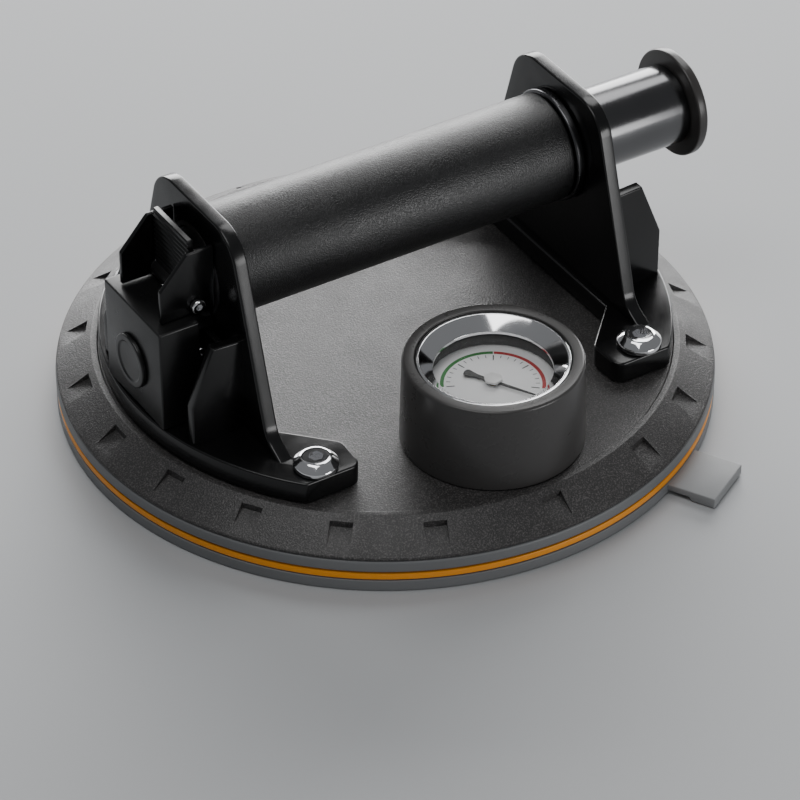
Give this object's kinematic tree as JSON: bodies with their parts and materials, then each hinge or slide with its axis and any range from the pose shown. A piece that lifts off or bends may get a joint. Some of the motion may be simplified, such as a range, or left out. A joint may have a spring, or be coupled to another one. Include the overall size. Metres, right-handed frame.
{
  "type": "hand pump vacuum suction cup",
  "caption": "Round rubber suction cup with a hand pump in its grip, a spring-loaded plunger, a thumb release valve and a vacuum gauge.",
  "frame": {"origin": "centre of the suction face, on the surface that the pad holds", "axes": "+Z away from the held surface; X along the pump and grip, plunger at +X, release lever at -X; the gauge is on the -Y side"},
  "size_m": [0.205, 0.2042, 0.089],
  "materials": {
    "grey_rubber": "smooth moulded grey rubber",
    "orange_rubber": "smooth orange rubber",
    "textured_black": "sand-textured black powder coat",
    "bracket_black": "gloss black paint",
    "gloss_black": "gloss black paint",
    "cover_black": "semi-gloss black moulding",
    "cap_black": "semi-gloss dark moulding",
    "housing_black": "semi-gloss dark grey moulding",
    "grip_rubber": "fine leather-like grain",
    "dark_steel": "dark satin steel",
    "spring_steel": "drawn wire",
    "aluminium": "turned",
    "brass": "turned",
    "chrome": "bright chrome plate",
    "seal_rubber": "matte black rubber",
    "clear_glass": "clear",
    "dial_white": "printed white dial, green to red arc",
    "hub_white": "white moulding",
    "needle_black": "matte black paint"
  },
  "bodies": {
    "base": {"rubber_pad": "grey_rubber", "seal_ring": "orange_rubber", "base_plate": "textured_black", "intake_filter": "brass", "left_bracket": "bracket_black", "right_bracket": "bracket_black", "flange_screw_left_front": "chrome", "flange_screw_left_rear": "chrome", "flange_screw_right_front": "chrome", "flange_screw_right_rear": "chrome", "grip_sleeve": "grip_rubber", "left_collar": "gloss_black", "right_collar": "gloss_black", "pump_barrel": "aluminium", "barrel_bush": "gloss_black", "barrel_plug": "aluminium", "check_valve_flap": "seal_rubber", "pump_spring": "spring_steel", "valve_body": "bracket_black", "valve_cover": "cover_black", "cover_disc": "cover_black", "valve_spring": "spring_steel", "thumb_guard": "bracket_black", "pivot_screw": "chrome", "clamp_screw": "chrome", "gauge_housing": "housing_black", "gauge_bezel": "chrome", "gauge_lens": "clear_glass", "gauge_gasket": "seal_rubber", "gauge_dial": "dial_white", "gauge_capsule": "brass", "gauge_stem": "brass"},
    "plunger": {"plunger_tube": "dark_steel", "plunger_cap": "cap_black", "piston": "aluminium", "piston_seal": "seal_rubber"},
    "lever": {"release_lever": "cover_black"},
    "valve": {"valve_stem": "brass", "valve_seal": "seal_rubber"},
    "needle": {"gauge_needle": "needle_black", "needle_hub": "hub_white", "needle_spindle": "brass"}
  },
  "joints": [
    {"name": "pump_stroke", "type": "slide", "parent": "base", "child": "plunger", "axis": [-1, 0, 0], "range_m": [0, 0.032], "stiffness_N_per_m": 180, "springref_m": -0.02, "deforming": ["pump_spring"]},
    {"name": "release_tilt", "type": "hinge", "parent": "base", "child": "lever", "pos_m": [-0.0709, 0, 0.0633], "axis": [0, 1, 0], "range_deg": [0, 12], "stiffness_Nm_per_rad": 0.08, "springref_deg": -8.59},
    {"name": "valve_travel", "type": "slide", "parent": "base", "child": "valve", "axis": [0, 0, -1], "range_m": [0, 0.0008], "deforming": ["valve_spring"]},
    {"name": "needle_turn", "type": "hinge", "parent": "base", "child": "needle", "pos_m": [0.0004, -0.0592, 0.0371], "axis": [0, 0, 1], "range_deg": [0, 200], "stiffness_Nm_per_rad": 0.0005, "springref_deg": -17.19}
  ],
  "couplings": [
    {"joint": "valve_travel", "follows": "release_tilt", "m_per_rad": 0.0034}
  ]
}
